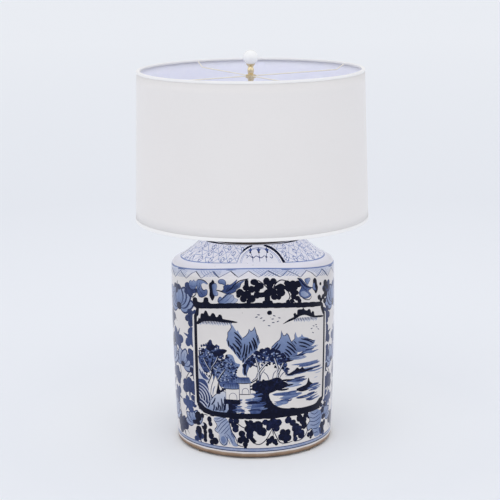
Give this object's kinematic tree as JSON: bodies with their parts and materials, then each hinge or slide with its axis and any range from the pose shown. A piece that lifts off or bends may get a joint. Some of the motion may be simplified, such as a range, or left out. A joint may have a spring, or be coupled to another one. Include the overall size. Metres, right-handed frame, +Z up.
{
  "type": "ginger jar lamp",
  "caption": "Table lamp on a painted porcelain jar, with a socket, a lift-off harp, and a tapered drum shade held by a ball finial.",
  "frame": {"origin": "on the resting plane, under the lamp's upright axis", "axes": "+Z up along the lamp's axis, the painted front panel faces -Y, +X to the viewer's right"},
  "size_m": [0.4571, 0.4572, 0.7748],
  "materials": {
    "porcelain": "glossy crackled glaze over cobalt painting, bare tan foot",
    "white_ceramic": "glossy white glaze",
    "dark_wood": "dark lacquered turning",
    "brass": "polished, lacquered",
    "steel": "zinc plated",
    "rubber": "matt",
    "felt": "pressed felt",
    "card": "fibre insulation",
    "phenolic": "moulded",
    "solder": "dull",
    "black_glass": "opaque black glass",
    "bulb_metal": "rolled thin shell",
    "frosted_glass": "frosted inside",
    "clear_glass": "clear",
    "filament_wire": "drawn wire",
    "shade_fabric": "fine off-white linen on a stiff backing",
    "shade_liner": "white styrene, slightly satin",
    "shade_trim": "rolled self-fabric edge",
    "shade_wire": "cream enamel"
  },
  "bodies": {
    "base": {"jar": "porcelain", "felt_pads": "felt", "cord_grommet": "rubber", "lamp_pipe": "steel", "rubber_washer": "rubber", "steel_washer": "steel", "lock_washer": "steel", "hex_nut": "steel", "neck_cap": "dark_wood", "check_ring": "brass", "brass_spool": "brass", "harp_saddle": "brass", "socket_cap": "brass", "set_screw": "steel", "socket_shell": "brass", "socket_liner": "card", "socket_body": "phenolic", "terminal_screws": "brass", "screw_shell": "brass", "centre_contact": "brass"},
    "switch": {"switch_shaft": "steel", "switch_knob": "phenolic"},
    "bulb": {"bulb_tip": "solder", "bulb_insulator": "black_glass", "bulb_base": "bulb_metal", "bulb_glass": "frosted_glass", "bulb_stem": "clear_glass", "bulb_filament": "filament_wire"},
    "harp": {"harp_wire": "brass", "harp_top": "brass"},
    "back_sleeve": {"ferrule_back": "brass"},
    "front_sleeve": {"ferrule_front": "brass"},
    "shade": {"shade_fabric": "shade_fabric", "shade_liner": "shade_liner", "top_ring": "shade_wire", "bottom_ring": "shade_wire", "top_trim": "shade_trim", "bottom_trim": "shade_trim", "liner_seam": "shade_liner", "fabric_seam": "shade_fabric", "spider_washer": "brass", "spider_arms": "shade_wire"},
    "finial": {"finial_base": "brass", "finial_ball": "white_ceramic"}
  },
  "joints": [
    {"name": "harp_lift", "type": "slide", "parent": "base", "child": "harp", "axis": [0, 0, 1], "range_m": [0, 0.25]},
    {"name": "back_sleeve_slide", "type": "slide", "parent": "harp", "child": "back_sleeve", "axis": [0, 0, 1], "range_m": [0, 0.013]},
    {"name": "front_sleeve_slide", "type": "slide", "parent": "harp", "child": "front_sleeve", "axis": [0, 0, 1], "range_m": [0, 0.013]},
    {"name": "shade_turn", "type": "hinge", "parent": "harp", "child": "shade", "pos_m": [0, 0, 0.7233], "axis": [0, 0, 1], "continuous": true},
    {"name": "finial_turn", "type": "hinge", "parent": "harp", "child": "finial", "pos_m": [0, 0, 0.7261], "axis": [0, 0, 1], "continuous": true},
    {"name": "bulb_turn", "type": "hinge", "parent": "base", "child": "bulb", "pos_m": [0, 0, 0.4896], "axis": [0, 0, 1], "continuous": true},
    {"name": "switch_turn", "type": "hinge", "parent": "base", "child": "switch", "pos_m": [0.02, 0, 0.4798], "axis": [1, 0, 0], "continuous": true}
  ]
}
